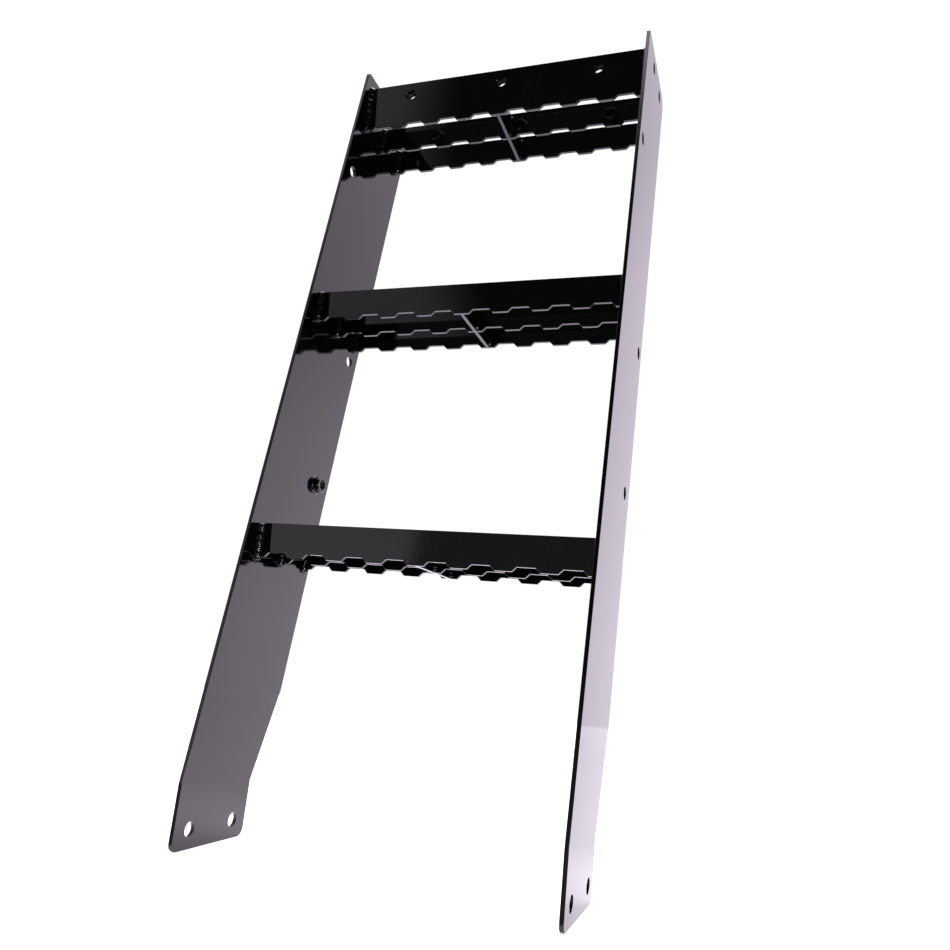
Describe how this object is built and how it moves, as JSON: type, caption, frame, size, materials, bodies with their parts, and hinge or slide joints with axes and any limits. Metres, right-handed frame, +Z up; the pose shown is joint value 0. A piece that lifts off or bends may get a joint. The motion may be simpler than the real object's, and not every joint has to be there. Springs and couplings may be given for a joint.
{
  "type": "bolt-on access ladder",
  "caption": "Welded black steel access ladder with leaning side plates, bolt-on tabs and treads of serrated bars, for a truck, trailer or machine.",
  "frame": {"origin": "middle of the tab bolt pattern, halfway between the two mounting tabs", "axes": "+X to the right across the ladder, +Y to the rear, the way the side plates lean, +Z up with the treads level"},
  "size_m": [0.3894, 0.2865, 0.9909],
  "materials": {
    "side_plates": "gloss black powder coat on flat sheet",
    "tread_bars": "gloss black powder coat on laser-cut bar",
    "nuts": "gloss black powder coat, threads lightly coated",
    "weld_beads": "gloss black powder coat over rippled weld"
  },
  "bodies": {
    "root": {"left_side_plate": "side_plates", "right_side_plate": "side_plates", "lower_tread_front_bar": "tread_bars", "lower_tread_centre_bar": "tread_bars", "lower_tread_rear_bar": "tread_bars", "lower_tread_front_spacer": "tread_bars", "lower_tread_rear_spacer": "tread_bars", "lower_tread_left_end_welds": "weld_beads", "lower_tread_right_end_welds": "weld_beads", "lower_tread_spacer_welds": "weld_beads", "middle_tread_front_bar": "tread_bars", "middle_tread_centre_bar": "tread_bars", "middle_tread_rear_bar": "tread_bars", "middle_tread_front_spacer": "tread_bars", "middle_tread_rear_spacer": "tread_bars", "middle_tread_left_end_welds": "weld_beads", "middle_tread_right_end_welds": "weld_beads", "middle_tread_spacer_welds": "weld_beads", "upper_tread_front_bar": "tread_bars", "upper_tread_centre_bar": "tread_bars", "upper_tread_rear_bar": "tread_bars", "upper_tread_front_spacer": "tread_bars", "upper_tread_rear_spacer": "tread_bars", "upper_tread_left_end_welds": "weld_beads", "upper_tread_right_end_welds": "weld_beads", "upper_tread_spacer_welds": "weld_beads", "left_side_weld_nut": "nuts", "right_side_weld_nut": "nuts", "left_side_nut_weld": "weld_beads", "right_side_nut_weld": "weld_beads", "upper_bar_weld_nuts": "nuts", "upper_bar_nut_welds": "weld_beads"}
  },
  "joints": []
}
